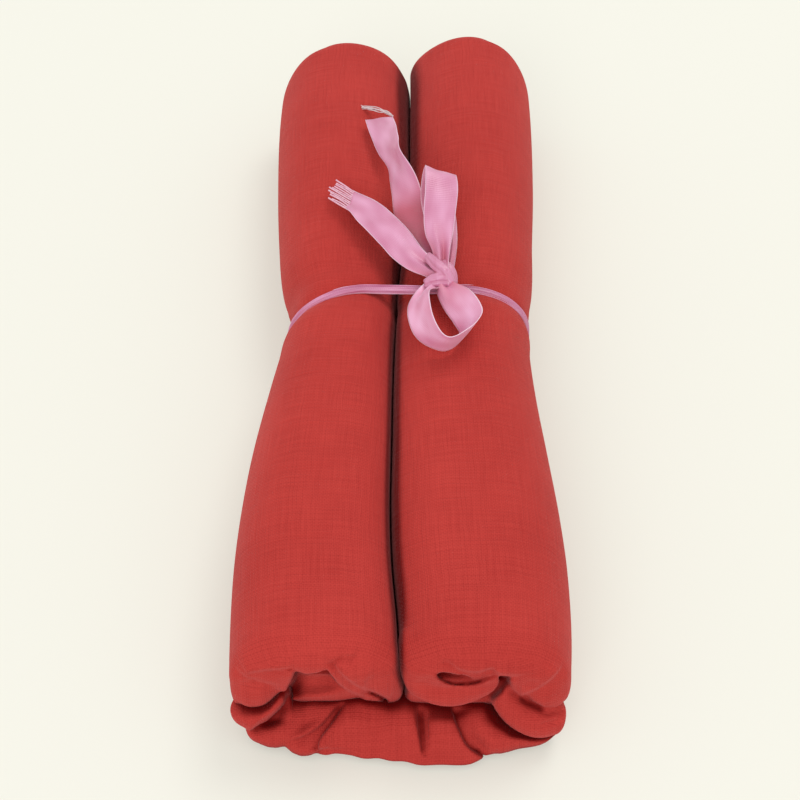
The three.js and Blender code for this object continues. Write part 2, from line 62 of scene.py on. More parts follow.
RIBBON = 15.0
RIBBON_THICK = 0.22
WRAP_THICK = 0.25
RIBBON_LIFT = 1.3  # of the loops and tails over the cloth
KNOT_SHARE = 0.25  # the knot's place, as a share of half the width
KNOT_LIFT = 7.3
KNOT_REACH = (10.0, 16.5, 7.0)
KNOT_BLEND = 0.45
STRIP_CUTS = 12
STRIP_COLUMNS = 17
CURL = 0.5
WRAP_STEPS = 260
WRAP_COLUMNS = 41
WRAP_WIDE = 5.4
WRAP_PLEATS = 3.1

# Outline of the bundle along its length: shares of half the width and of the height
SECTIONS = np.array([
    # at, left, right, groove, top, lift
    (0.00, 0.950, 0.955, 0.030, 0.960, 0.000),
    (0.09, 0.985, 0.998, 0.010, 0.990, 0.000),
    (0.17, 0.997, 1.000, -0.030, 1.000, 0.000),
    (0.24, 0.982, 0.976, -0.045, 1.000, 0.000),
    (0.32, 0.943, 0.932, -0.044, 0.990, 0.000),
    (0.41, 0.874, 0.881, -0.043, 0.965, 0.000),
    (0.48, 0.815, 0.852, -0.037, 0.940, 0.020),
    (0.518, 0.765, 0.855, -0.030, 0.915, 0.060),
    (0.544, 0.765, 0.855, -0.030, 0.915, 0.060),
    (0.59, 0.840, 0.900, -0.015, 0.945, 0.020),
    (0.66, 0.886, 0.916, 0.010, 0.970, 0.000),
    (0.76, 0.930, 0.951, 0.044, 0.985, 0.000),
    (0.88, 0.962, 0.968, 0.037, 0.990, 0.000),
    (1.00, 0.950, 0.955, 0.030, 0.995, 0.000),
])

# How far the pad's folded edges stand back, in mm, at shares of half the width
NEAR_EDGE = np.array([
    (-1.0, 17.0), (-0.93, 13.0), (-0.82, 11.5), (-0.66, 10.0), (-0.59, 8.5), (-0.5, 6.0), (-0.44, 5.2),
    (-0.38, 6.0), (-0.29, 5.3), (-0.2, 3.4), (-0.11, 3.4), (-0.02, 2.7), (0.04, 2.0), (0.13, 1.2),
    (0.25, 1.2), (0.37, 2.0), (0.49, 4.4), (0.56, 6.6), (0.62, 9.0), (0.79, 10.5), (0.9, 12.5),
    (1.0, 18.0),
])
# Height of the pad under the rolls' near ends: x and z in mm
NEAR_SEAM = np.array([
    (-70.0, 14.5), (-65.8, 15.6), (-61.6, 18.0), (-57.0, 19.6), (-53.0, 20.7), (-50.0, 22.5),
    (-46.8, 25.7), (-43.9, 29.6), (-43.0, 29.0), (-41.4, 18.0), (-38.0, 16.4), (-33.0, 17.2),
    (-24.0, 17.4), (-14.0, 18.6), (-4.0, 16.4), (6.0, 16.8), (14.0, 15.8), (24.0, 16.6), (33.0, 17.4),
    (37.0, 15.0), (44.0, 10.5), (52.0, 7.5), (60.0, 5.5), (70.0, 5.0),
])
FAR_EDGE = np.array([
    (-1.00, 12.0), (-0.60, 4.2), (-0.30, 3.6), (0.00, 0.6), (0.35, 3.0), (0.62, 3.6), (1.00, 12.0),
])


def step(low, high, value):
    t = np.clip((value - low) / (high - low), 0.0, 1.0)
    return t * t * (3.0 - 2.0 * t)


def smooth_table(table, count):
    """Rows along one smooth curve through the table's rows, with the first column as the place."""
    at = table[:, 0]
    fine = np.linspace(at[0], at[-1], count)
    slope = np.empty_like(table)
    slope[1:-1] = (table[2:] - table[:-2]) / (at[2:] - at[:-2])[:, None]
    slope[0] = (table[1] - table[0]) / (at[1] - at[0])
    slope[-1] = (table[-1] - table[-2]) / (at[-1] - at[-2])
    row = np.clip(np.searchsorted(at, fine, side="right") - 1, 0, len(at) - 2)
    span = (at[row + 1] - at[row])[:, None]
    t = ((fine - at[row])[:, None]) / span
    ease = t * t * (3 - 2 * t)
    bend = t * (1 - t) * span
    values = table[row] * (1 - ease) + table[row + 1] * ease
    values = values + bend * ((1 - t) * slope[row] - t * slope[row + 1])
    values[:, 0] = fine
    return values


SECTION_CURVE = smooth_table(SECTIONS, 801)
NEAR_CURVE = smooth_table(NEAR_EDGE, 201)
FAR_CURVE = smooth_table(FAR_EDGE, 201)


def section(y):
    """Sizes of the cut across the bundle at each y."""
    at = np.clip((y - NEAR) / LENGTH, 0.0, 1.0)
    left, right, groove, top, lift = (
        np.interp(at, SECTION_CURVE[:, 0], SECTION_CURVE[:, column]) for column in range(1, 6))
    left, right, groove = left * WIDTH / 2, right * WIDTH / 2, groove * WIDTH / 2
    top, lift = top * HEIGHT, np.maximum(lift, 0) * HEIGHT
    return {
        "left": ((groove - GAP / 2 - left) / 2, (groove - GAP / 2 + left) / 2),
        "right": ((groove + GAP / 2 + right) / 2, (right - groove - GAP / 2) / 2),
        "sides": (left, right), "groove": groove, "lift": lift, "top": top,
        "middle": (top + lift) / 2, "half": (top - lift) / 2,
    }


def oval_distance(x, z, middle, half, centre, tall, power):
    """Rough distance to a rounded section, below zero inside."""
    u = np.abs(x - middle) / half + 1e-6
    w = np.abs(z - centre) / tall + 1e-6
    size = (u ** power + w ** power) ** (1 / power)
    slope = np.hypot((u / size) ** (power - 1) / half, (w / size) ** (power - 1) / tall)
    return (size - 1) / slope


def pad_top(x, cut):
    side = np.where(x < 0, cut["sides"][0], cut["sides"][1])
    climb = step(0.5, 1.0, np.abs(x) / side)
    return cut["lift"] + PAD_THICK + (PAD_TIP * cut["top"] - PAD_THICK) * climb * climb


def seam_height(x, y, cut):
    """Height at which the rolls lie on the pad, with the pad's leaves at the near end."""
    near = np.interp(x, NEAR_SEAM[:, 0], NEAR_SEAM[:, 1])
    return near + (pad_top(x, cut) - near) * step(-180.0, -165.0, y)


def tie_place(x):
    """Where the ribbon runs along the bundle at x: it slants towards the near end at the sides."""
    return TIE_Y - 9.0 * step(16.0, 52.0, -x) - 3.0 * step(28.0, 58.0, x)


def nearer_roll(x, cut):
    """Middle and half width of the roll on the side of x."""
    return (np.where(x < 0, left, right) for left, right in zip(cut["left"], cut["right"]))


def near_slump(y):
    """How far the cloth has slumped: 1 at the near end, 0 from a short way in."""
    return 1 - step(-194, -166, y)


def taut_line(x, y):
    """Height of the taut line over both rolls."""
    cut = section(y)
    middle, half = nearer_roll(x, cut)
    share = np.clip(np.abs(x - middle) / half, 0, 1)
    rise = cut["half"] * (1 - share ** OUTER_POWER) ** (1 / OUTER_POWER)
    outward = np.abs(x) > np.abs(middle)
    return cut["middle"] + np.where(outward, rise, cut["half"])


# ---- Soft shapes as distances ----
def soft_min(a, b, blend):
    share = np.clip(0.5 + 0.5 * (b - a) / blend, 0.0, 1.0)
    return b + (a - b) * share - blend * share * (1 - share)


def round_both(a, b, radius):
    """What is inside both, with an edge rounded to the radius."""
    u = np.maximum(a + radius, 0)
    v = np.maximum(b + radius, 0)
    return np.hypot(u, v) - radius + np.minimum(np.maximum(a, b) + radius, 0)


def smooth_path(rows, cuts=5):
    """More rows on a smooth curve through the rows."""
    rows = np.array(rows, float)
    if len(rows) < 3:
        return rows
    padded = np.vstack([2 * rows[0] - rows[1], rows, 2 * rows[-1] - rows[-2]])
    out = []
    for index in range(1, len(padded) - 2):
        a, b, c, d = padded[index - 1:index + 3]
        for t in np.arange(cuts) / cuts:
            out.append(0.5 * (2 * b + (c - a) * t + (2 * a - 5 * b + 4 * c - d) * t * t
                              + (3 * b - a - 3 * c + d) * t ** 3))
    out.append(rows[-1])
    return np.array(out)


def tube_distance(points, path):
    best = np.full(len(points), 1e9)
    for a, b in zip(path[:-1], path[1:]):
        axis = b[:3] - a[:3]
        away = points - a[:3]
        t = np.clip(away @ axis / max(axis @ axis, 1e-9), 0.0, 1.0)
        gap = np.sqrt(((away - t[:, None] * axis) ** 2).sum(axis=1))
        best = np.minimum(best, gap - (a[3] + t * (b[3] - a[3])))
    return best


def shape(distance, points, rows, blend, carve=False):
    """Adds a fold along rows of x, y, z and radius to the distances, or carves it out of them."""
    path = smooth_path(rows, 4)
    reach = path[:, 3].max() + blend + 1.5
    low, high = path[:, :3].min(axis=0) - reach, path[:, :3].max(axis=0) + reach
    close = np.flatnonzero(((points >= low) & (points <= high)).all(axis=1))
    if not len(close):
        return
    other = tube_distance(points[close], path)
    if carve:
        distance[close] = -soft_min(-distance[close], other, blend)
    else:
        distance[close] = soft_min(distance[close], other, blend)


# ---- Folds of the near end ----
# Thick folds: how, blend and rows of x, y, z, radius
LEFT_NEAR = [
    ("add", 2.5, [(-62.0, -168, 26, 5.5), (-62.3, -174, 21.5, 5.3), (-62.3, -175.5, 18, 5.2)]),
    ("add", 2.0, [(-50, -173, 41, 8), (-53, -175, 33, 9.5), (-56, -176, 26, 9.5), (-58, -175, 23, 8)]),
    ("add", 1.8, [(-15, -172, 52, 8), (-10, -175, 44, 9.5), (-7, -175, 34, 9), (-5, -174, 27, 7)]),
    ("cut", 0.7, [(-38.8, -182, 34.5, 4.4), (-35.0, -181.5, 39.6, 5.8), (-29.5, -181.5, 41.2, 5.8),
        (-25, -182, 43, 3.8)]),
    ("cut", 1.4, [(-41.5, -181, 25, 4.2), (-38, -182, 28.5, 5.4), (-33, -182.5, 30, 6.6),
        (-26, -184, 31, 5.4)]),
    ("cut", 0.8, [(-38, -176, 40, 3.8), (-32, -174.5, 42.5, 4.8), (-26, -176, 43.5, 3.8)]),
]
RIGHT_NEAR = [
    ("add", 2.0, [(50, -173, 44, 8), (54, -175, 36, 9.5), (58, -176, 28, 9), (60, -175, 24, 7.5)]),
    ("add", 1.2, [(40, -176, 31, 5.5), (42, -178, 24, 7), (47, -181, 17.5, 8), (54, -183, 14.5, 8.5),
        (59.5, -182.5, 13.5, 7.5)]),
    ("add", 1.6, [(4, -171, 47, 6), (6, -175, 39, 7), (11, -177, 31, 8), (20, -177.5, 28, 8.5),
        (30, -177, 33, 8), (38, -177, 40, 5)]),
    ("cut", 0.9, [(14.6, -183, 44.5, 1.2), (17.5, -182.5, 45.2, 2.6), (21.5, -183, 43.2, 2.3),
        (26, -184, 41.0, 1.4)]),
    ("cut", 0.9, [(16.5, -177, 46, 2), (20, -176, 45, 2.4), (23, -178, 43.5, 1.8)]),
    ("cut", 1.6, [(40.5, -183, 43, 1.6), (39.8, -181.5, 37, 2.0), (37, -181, 29, 2.0),
        (33, -180.5, 22, 1.5)]),
    ("cut", 0.7, [(39.4, -178, 41, 1.9), (38.6, -177.5, 36, 1.6)]),
]
PAD_NEAR = [
    ("add", 1.2, [(-45.2, -177, 24.5, 4.6), (-49.6, -180.5, 19, 6), (-55.2, -182.5, 14.5, 6.8),
        (-59.3, -181, 14, 6.8)]),
    ("add", 1.0, [(-34, -174, 11.5, 5.5), (-37.5, -178.5, 10, 6.5), (-42.5, -183, 7, 6.8),
        (-48.5, -185.5, 5.6, 6.6), (-54, -184, 6.0, 6.4)]),
    ("add", 1.0, [(-42, -186.5, 4.4, 5), (-37.5, -189.5, 5, 6), (-32.5, -188, 7, 5.6),
        (-28, -182, 10, 5), (-25, -176, 12, 4)]),
    ("add", 1.2, [(27, -176, 12, 5), (31, -182.5, 9, 7.4), (37.5, -186.8, 6, 7.2),
        (46, -185.2, 5.5, 6.6), (54, -184, 5.5, 6.2), (58, -182.5, 6.5, 5.4)]),
    ("cut", 1.4, [(8.8, -179, 19, 3.2), (9.6, -187, 15.5, 3.0), (10.4, -193, 10.5, 2.0),
        (10.6, -196, 6.5, 0.8)]),
]
# The end's slanting face: the direction up it and a point on it, in y and z
FACE_UP = (0.86, 0.536)
FACE_FOOT = (-186, 20)
LEAVES_END = -160  # y past which no leaf reaches
# Edges of cloth that lie over their neighbours. Rise and reach say how far the cloth is raised
# along the edge and how far in it falls away. Dip and its reach say the same for the hollow beside
# it, in mm. Each row is x and slope, which is how far up the end's slanting face the edge lies. The
# raised side is on the left of the rows' direction.
LEFT_LEAVES = [
    (1.4, 9, 1.2, 3.0, [(-57.5, 14.2), (-55.7, 15.0), (-49.9, 16.0), (-44.1, 16.6), (-38.3, 17.2)]),
    (1.6, 7, 1.5, 3.0, [(-43.8, 7.0), (-42.5, 9.4), (-41.0, 11.6), (-39.6, 14.3), (-39.0, 17.2)]),
    (1.0, 8, 0.8, 3.0, [(-27.4, 18.3), (-24.7, 19.7), (-22.0, 20.9), (-18.8, 21.7), (-15.1, 21.1)]),
    (1.5, 5, 1.2, 4.0, [(-27.6, 18.8), (-25.8, 14.7), (-23.5, 11.6), (-20.4, 9.2), (-16.5, 7.3),
        (-12.4, 6.1)]),
    (2.0, 9, 0.6, 2.5, [(-25.6, 20.6), (-23.1, 17.0), (-20.8, 14.3), (-18.1, 11.9), (-15.0, 10.0),
        (-10.9, 8.5)]),
    (0.8, 4, 1.9, 1.0, [(-12.9, 9.2), (-8.8, 7.9), (-5.6, 6.1), (-4.0, 5.0)]),
    (0.7, 5, 0.5, 3.0, [(-63.1, 17.8), (-59.2, 14.7), (-56.1, 12.9), (-51.5, 11.6), (-44.0, 10.2)]),
]
RIGHT_LEAVES = [
    (1.2, 6, 0.8, 1.6, [(14.2, 17.4), (16.1, 19.5), (18.0, 19.9), (20.0, 18.9), (22.7, 17.0),
        (26.6, 16.0), (30.5, 16.0), (35.1, 17.4), (36.7, 15.8), (38.6, 14.9), (44.1, 14.7),
        (54.4, 16.4)]),
    (1.2, 5, 0.5, 3.0, [(39.0, 15.6), (32.4, 13.1), (27.8, 11.9), (23.9, 11.6), (20.0, 11.9),
        (16.1, 13.5), (12.8, 16.4)]),
    (1.2, 6, 0.8, 3.5, [(62.6, 18.9), (59.6, 15.4), (56.9, 12.7), (53.0, 10.0), (48.3, 7.7),
        (46.3, 7.2)][::-1]),
    (0.9, 7, 0.8, 2.5, [(41.0, 15.0), (42.9, 11.6), (45.2, 8.4), (48.3, 6.5), (51.8, 4.8), (54.9, 3.4),
        (57.9, 0.9)]),
    (0.6, 3, 0.6, 2.0, [(55.9, 0.6), (60.8, 1.6), (64.9, 2.4)]),
    (0.6, 3, 0.6, 2.0, [(53.9, -3.5), (58.8, -2.2), (62.6, -1.5)]),
]
PAD_LEAVES = [
    (1.2, 9, 2.2, 4.0, [(-59.1, -8.8), (-56.1, -5.7), (-53.0, -3.2), (-49.1, -0.5), (-46.0, 2.2),
        (-44.1, 4.9), (-43.3, 9.4)]),
    (1.2, 9, 1.5, 4.0, [(-44.5, -11.6), (-39.8, -10.2), (-34.4, -7.9), (-30.5, -5.1), (-27.4, -1.7),
        (-24.7, 1.5), (-20.6, 5.2)]),
    (2.4, 10, 1.0, 4.5, [(-20.1, 5.2), (-24.3, -0.9), (-27.8, -5.9), (-30.5, -9.8), (-31.3, -12.9),
        (-31.3, -14.6)]),
    (0.0, 5, 1.3, 1.5, [(8.4, 4.0), (9.6, -4.4), (10.0, -11.0), (10.0, -15.9)]),
    (2.6, 9, 2.8, 7.0, [(34.8, -17.2), (29.3, -14.1), (26.2, -11.0), (23.9, -6.3), (21.9, -1.7),
        (20.0, 3.6)]),
]

# Painted shade where the folds lie deepest: x, y, z, reach and strength
PAINTED_SHADE_SPOTS = [
    (-42, -179, 26, 5, 0.55), (-37, -178, 36, 6, 0.45), (-26, -180, 36, 5, 0.35),
    (-42.5, -184, 20, 5, 0.45), (-24, -186, 15, 4, 0.35), (10, -188, 14, 5, 0.25),
    (23, -186, 13, 6, 0.4), (37, -183, 14, 6, 0.35), (44, -186, 8, 6, 0.35), (39, -180, 36, 4, 0.4),
    (18, -182, 44, 3, 0.35), (-8, -188, 13, 8, 0.15),
]


def apply_folds(distance, points, folds):
    for how, blend, rows in folds:
        shape(distance, points, rows, blend, carve=how == "cut")


def apply_leaves(distance, points, leaves):
    """Raises the cloth on one side of each edge and hollows it on the other."""
    close = np.flatnonzero(points[:, 1] < LEAVES_END)
    if not len(close):
        return
    x = points[close, 0]
    slope = sum(FACE_UP[i] * (points[close, i + 1] - FACE_FOOT[i]) for i in (0, 1))
    for rise, reach, dip, dip_reach, rows in leaves:
        path = smooth_path([(px, pq, 0) for px, pq in rows], 4)[:, :2]
        total = len(path) - 1
        best = np.full(len(x), 1e9)
        side = np.zeros(len(x))
        along = np.zeros(len(x))
        for index, (a, b) in enumerate(zip(path[:-1], path[1:])):
            ax, ay = b - a
            dx, dy = x - a[0], slope - a[1]
            t = np.clip((dx * ax + dy * ay) / (ax * ax + ay * ay), 0, 1)
            gap = np.hypot(dx - t * ax, dy - t * ay)
            nearer = gap < best
            best = np.where(nearer, gap, best)
            side = np.where(nearer, np.sign(ax * dy - ay * dx), side)
            along = np.where(nearer, (index + t) / total, along)
        signed = best * side
        fade = step(-0.01, 0.18, along) * (1 - step(0.84, 1.01, along))
        over = step(-0.5, 0.9, signed)
        raised = rise * over * np.exp(-(np.maximum(signed, 0) / reach) ** 2)
        sunk = dip * (1 - over) * np.exp(-(np.minimum(signed, 0) / dip_reach) ** 2)
        distance[close] -= fade * (raised - sunk)


def body_waves(arc, y):
    """Soft unevenness of the wound cloth, and folds that gather towards the tie."""
    away = np.abs(y - TIE_Y + 3)
    gather = np.exp(-((away - 14) / 20) ** 2)
    waves = 0.30 * np.sin(arc / 9.5 + y / 43) + 0.22 * np.sin(arc / 5.7 - y / 29 + 1.7)
    slow = 0.35 * np.sin(arc / 21 + y / 61 + 0.6) + 0.30 * np.sin(y / 27 - arc / 33)
    return gather * waves + 0.5 * slow


def tie_pinch(x, y):
    """How far the ribbon presses into the cloth, and the cloth swells beside it."""
    away = y - tie_place(x)
    return TIE_DEPTH * np.exp(-(away / 4.2) ** 2) - 0.6 * np.exp(-((np.abs(away) - 10) / 6) ** 2)


def spiral_end(x, z, middle, half, centre, tall, hand):
    """Depth of the wound layers' creases in a roll's far end."""
    u, w = hand * (x - middle) / half, (z - centre) / tall
    away = np.hypot(u, w)
    turn = np.arctan2(w, u) / (2 * math.pi)
    phase = away * 2.6 - turn + 0.15 * np.sin(3 * away + 5 * turn)
    crease = np.exp(-((phase - np.round(phase)) / 0.13) ** 2)
    hollow = np.exp(-((u - 0.06) ** 2 / 0.30 + (w + 0.10) ** 2 / 0.16) ** 1.4)
    return 9.0 * hollow + 3.4 * crease * step(0.08, 0.25, away) * (1 - step(0.72, 0.95, away))


# What differs between the rolls: which way is outwards, the folds, how far the far end stands back,
# where the waves begin, and the limits of the mesh across
ROLLS = {
    "left": (-1.0, LEFT_NEAR, LEFT_LEAVES, 6.0, 0, (-71, 5)),
    "right": (1.0, RIGHT_NEAR, RIGHT_LEAVES, 0.0, 71, (-5, 71)),
}


def roll_distance(points, side):
    """Distance to a roll: its wound body, cut off and rounded at both ends, with its folds."""
    x, y, z = points.T
    hand, folds, leaves, set_back, wave_start, _ = ROLLS[side]
    cut = section(y)
    x = x + 1.1 * np.sin((z - 34) / 6.5) * np.exp(-((x - cut["groove"]) / 22) ** 2)
    middle, half = cut[side]
    outwards = (x - middle) * hand
    from_groove = hand * (x - cut["groove"])
    outer = step(-12, 12, outwards)

    slump = 1.3 * near_slump(y) * outer * step(0, 10, cut["middle"] - z)
    inner = INNER_POWER - 0.75 * step(-60, 110, y)
    power = inner + (OUTER_POWER - inner) * outer + slump
    press = PRESS * (1 - 0.8 * step(100, 185, y))
    wide = half + press * (1 - step(-2, 14, outwards))
    body = oval_distance(x, z, middle, wide, cut["middle"], cut["half"], power)
    body = round_both(body, GAP / 2 - from_groove, 1.5)
    arc = np.arctan2(x - middle, z - cut["middle"]) * ROLL_RADIUS + wave_start
    body = body + body_waves(arc, y) * step(0, 6, from_groove)
    body = body + tie_pinch(x, y) * (0.3 + 0.7 * outer)

    front = FRONT + 0.2 * np.maximum(46 - z, 0)
    radius = 5 + 10 * step(34, 56, z)
    radius = radius + outer * (np.minimum(radius, 4 + 0.25 * np.abs(z - 20)) - radius)
    distance = round_both(body, front - y, radius)

    depth = spiral_end(x, z, middle, half, cut["middle"] + 4, cut["half"], hand)
    back = FAR - set_back - np.where(y > FAR - 45, depth, 0)
    flank = np.clip(np.abs(x - middle) / half, 0, 1) ** 2
    under = step(0, 1, (cut["middle"] - z) / cut["half"])
    far_round = 7 + (1 + 17 * outer) * flank + 8 * under * (1 - flank)
    distance = round_both(distance, y - back, far_round)

    apply_folds(distance, points, folds)
    apply_leaves(distance, points, leaves)
    distance = round_both(distance, body - 0.6, 2.0)
    inwards = step(-180, -160, y)
    return round_both(distance, seam_height(x, y, cut) + SEAT * inwards - z, 0.9 + 1.4 * inwards)


def pad_distance(points):
    """Distance to the pad: flat below, turned up at both sides, with a wavy near edge."""
    x, y, z = points.T
    cut = section(y)
    middle, half = nearer_roll(x, cut)
    power = OUTER_POWER + 1.3 * near_slump(y)
    around = oval_distance(x, z, middle, half, cut["middle"], cut["half"], power)
    under = np.where(np.abs(x) > np.abs(middle), around, cut["lift"] - z)
    share = x / np.where(x < 0, cut["sides"][0], cut["sides"][1])
    under = under + (0.4 * body_waves(x + 140, y) + tie_pinch(x, y)) * step(2.0, 8.0, z)
    front = NEAR + np.interp(share, NEAR_CURVE[:, 0], NEAR_CURVE[:, 1])
    back = FAR - 9.0 - np.interp(share, FAR_CURVE[:, 0], FAR_CURVE[:, 1])
    top = z - seam_height(x, y, cut)
    front = front + (0.85 - 0.45 * step(0.45, 0.75, np.abs(share))) * np.maximum(z - 3, 0)
    front = front + 0.8 * np.sin(x / 2.9 + 1.6 * np.sin(x / 7.3)) * (0.4 + 0.6 * step(1, 9, z))
    distance = round_both(under, top, 0.6 + 1.4 * step(-185, -160, y))
    distance = round_both(distance, front - y, 5.0)
    distance = round_both(distance, y - back, 8.0)
    apply_folds(distance, points, PAD_NEAR)
    apply_leaves(distance, points, PAD_LEAVES)
    distance = round_both(distance, top, 0.6)
    return round_both(distance, -z, 1.5)


# ---- Meshes from distances ----
def gradient(field, points, reach=0.2):
    out = np.empty_like(points)
    for axis, offset in enumerate(np.eye(3) * reach):
        out[:, axis] = (field(points + offset) - field(points - offset)) / (2 * reach)
    return out


def normals_of(field, points):
    normal = gradient(field, points)
    return normal / np.maximum(np.linalg.norm(normal, axis=1), 1e-9)[:, None]


def mesh_from(name, field, xs, ys, zs):
    """A closed mesh on the field's zero surface, with its corners moved exactly onto it."""
    grid = np.stack(np.meshgrid(xs, ys, zs, indexing="ij"), axis=-1)
    size = grid.shape[:3]
    values = field(grid.reshape(-1, 3)).reshape(size)
    inside = values < 0
    cells = tuple(n - 1 for n in size)
    total = np.zeros(cells, np.int8)
    for i, j, k in np.ndindex(2, 2, 2):
        total += inside[i:i + cells[0], j:j + cells[1], k:k + cells[2]]
    active = (total > 0) & (total < 8)
    number = np.full(cells, -1, np.int64)
    number[active] = np.arange(active.sum())
    sums = np.zeros(cells + (3,))
    counts = np.zeros(cells)
    quads = []
    for axis in range(3):
        low = [slice(None)] * 3
        high = [slice(None)] * 3
        low[axis], high[axis] = slice(0, -1), slice(1, None)
        a, b = values[tuple(low)], values[tuple(high)]
        crossing = np.argwhere((a < 0) != (b < 0))
        others = [n for n in range(3) if n != axis]
        fits = np.ones(len(crossing), bool)
        for other in others:
            fits &= (crossing[:, other] > 0) & (crossing[:, other] < size[other] - 1)
        crossing = crossing[fits]
        start = tuple(crossing.T)
        t = a[start] / (a[start] - b[start])
        place = grid[start]
        ends = crossing.copy()
        ends[:, axis] += 1
        place += t[:, None] * (grid[tuple(ends.T)] - place)
        around = []
        for di, dj in ((1, 1), (0, 1), (0, 0), (1, 0)):
            cell = crossing.copy()
            cell[:, others[0]] -= di
            cell[:, others[1]] -= dj
            index = tuple(cell.T)
            np.add.at(sums, index, place)
            np.add.at(counts, index, 1)
            around.append(number[index])
        quad = np.stack(around, axis=1)
        flip = (a[start] < 0) == (axis == 1)
        quad[flip] = quad[flip][:, ::-1]
        quads.append(quad)
    points = sums[active] / counts[active][:, None]
    for _ in range(2):
        slope = gradient(field, points)
        steepness = np.maximum((slope ** 2).sum(axis=1), 0.05)
        move = -(field(points) / steepness)[:, None] * slope
        far = np.linalg.norm(move, axis=1)
        move *= np.minimum(1, 1.0 / np.maximum(far, 1e-9))[:, None]
        points = points + move
    return make_mesh(name, points, np.concatenate(quads))


def make_mesh(name, points, faces, uv=None):
    """A smooth-shaded object from points in mm. uv holds one pair a point, in mm."""
    data = bpy.data.meshes.new(name)
    data.from_pydata((np.asarray(points) / 1000).tolist(), [], [tuple(map(int, f)) for f in faces])
    data.update()
    data.polygons.foreach_set("use_smooth", [True] * len(data.polygons))
    piece = bpy.data.objects.new(name, data)
    bpy.context.scene.collection.objects.link(piece)
    if uv is not None:
        add_uv(piece, uv)
    return piece


def add_uv(piece, uv):
    layer = piece.data.uv_layers.new(name="cloth")
    corners = np.zeros(len(piece.data.loops), np.int32)
    piece.data.loops.foreach_get("vertex_index", corners)
    layer.data.foreach_set("uv", np.asarray(uv)[corners].astype(np.float32).ravel())


def add_painted_shade(piece, painted_shade):
    """Stores how much shade is painted on each point: 0 in the open, 1 in a deep crease."""
    layer = piece.data.attributes.new("hollow", "FLOAT", "POINT")
    layer.data.foreach_set("value", painted_shade.astype(np.float32))


def points_of(piece):
    flat = np.zeros(len(piece.data.vertices) * 3)
    piece.data.vertices.foreach_get("co", flat)
    return flat.reshape(-1, 3) * 1000


def all_cloth(points):
    """Distance to the nearest cloth, or to the floor."""
    near = np.minimum(roll_distance(points, "left"), roll_distance(points, "right"))
    return np.minimum(np.minimum(near, pad_distance(points)), points[:, 2] + 0.3)


# How far off the cloth other cloth still darkens it with painted shade, in mm, and how much
SHADE_REACHES = ((2.5, 0.38), (6.0, 0.34), (14.0, 0.36))


def shade_cloth(piece, field):
    """Paints shade on the cloth by how deep it lies in the groove and the folds."""
    points = points_of(piece)
    normal = normals_of(field, points)
    cut = section(points[:, 1])
    shallow = 1 - step(-40, 70, points[:, 1])
    # Painted shade in the groove between the rolls, deeper the further below the taut line
    deep = step(7 + shallow, 20 - 4 * shallow, cut["middle"] + cut["half"] - points[:, 2])
    deep = deep * step(-172, -150, points[:, 1]) * (1 - 0.6 * step(165, 198, points[:, 1]))
    painted_shade = deep * np.exp(-((points[:, 0] - cut["groove"]) / 13) ** 4)
    for reach, weight in SHADE_REACHES:
        painted_shade += weight * np.clip(1 - all_cloth(points + normal * reach) / reach, 0, 1)
    pairs = np.zeros(len(piece.data.edges) * 2, np.int32)
    piece.data.edges.foreach_get("vertices", pairs)
    a, b = pairs[::2], pairs[1::2]
    count = 1 + np.bincount(a, minlength=len(points)) + np.bincount(b, minlength=len(points))
    for _ in range(3):
        around = painted_shade + np.bincount(a, painted_shade[b], len(points)) + np.bincount(b, painted_shade[a], len(points))
        painted_shade = around / count
    for x, y, z, reach, strength in PAINTED_SHADE_SPOTS:
        painted_shade += strength * np.exp(-((points - (x, y, z)) ** 2).sum(axis=1) / reach ** 2)
    add_painted_shade(piece, painted_shade)


def spread(*stops):
    """Places from the first stop on: pairs of a place and the spacing up to the next stop."""
    out = []
    for (start, gap), (end, _) in zip(stops[:-1], stops[1:]):
        count = max(int(round((end - start) / gap)), 1)
        out.extend(start + (end - start) * np.arange(count) / count)
    out.append(stops[-1][0])
    return np.array(out)


coarse = 1.0
CELL = 0.85 * coarse
PAD_CELL = 0.95 * coarse
rows_y = spread((-206, 0.8 * coarse), (-166, 1.6 * coarse), (-152, 3.0 * coarse), (0, 1.5 * coarse),
                (26, 3.0 * coarse), (165, 1.3 * coarse), (204, 0))


def make_roll(side):
    def field(points):
        return roll_distance(points, side)

    low, high = ROLLS[side][-1]
    xs, zs = np.arange(low, high + 0.01, CELL), np.arange(2, 67.01, CELL)
    piece = mesh_from("cloth_roll_" + side, field, xs, rows_y, zs)
    points = points_of(piece)
    cut = section(points[:, 1])
    arc = np.arctan2(points[:, 0] - cut[side][0], points[:, 2] - cut["middle"]) * ROLL_RADIUS
    add_uv(piece, np.stack([arc, points[:, 1]], axis=1))
    shade_cloth(piece, field)
    return piece


roll_left = make_roll("left")
roll_right = make_roll("right")
pad = mesh_from("cloth_pad", pad_distance, np.arange(-71, 71.01, PAD_CELL), rows_y,
                np.arange(-1.5, 33.01, CELL))
add_uv(pad, points_of(pad)[:, :2])
shade_cloth(pad, pad_distance)


# ---- Ribbon ----
KNOT_X = KNOT_SHARE * WIDTH / 2
KNOT_MIDDLE = np.array([KNOT_X, TIE_Y, float(taut_line(np.array(KNOT_X), np.array(TIE_Y))) + KNOT_LIFT])

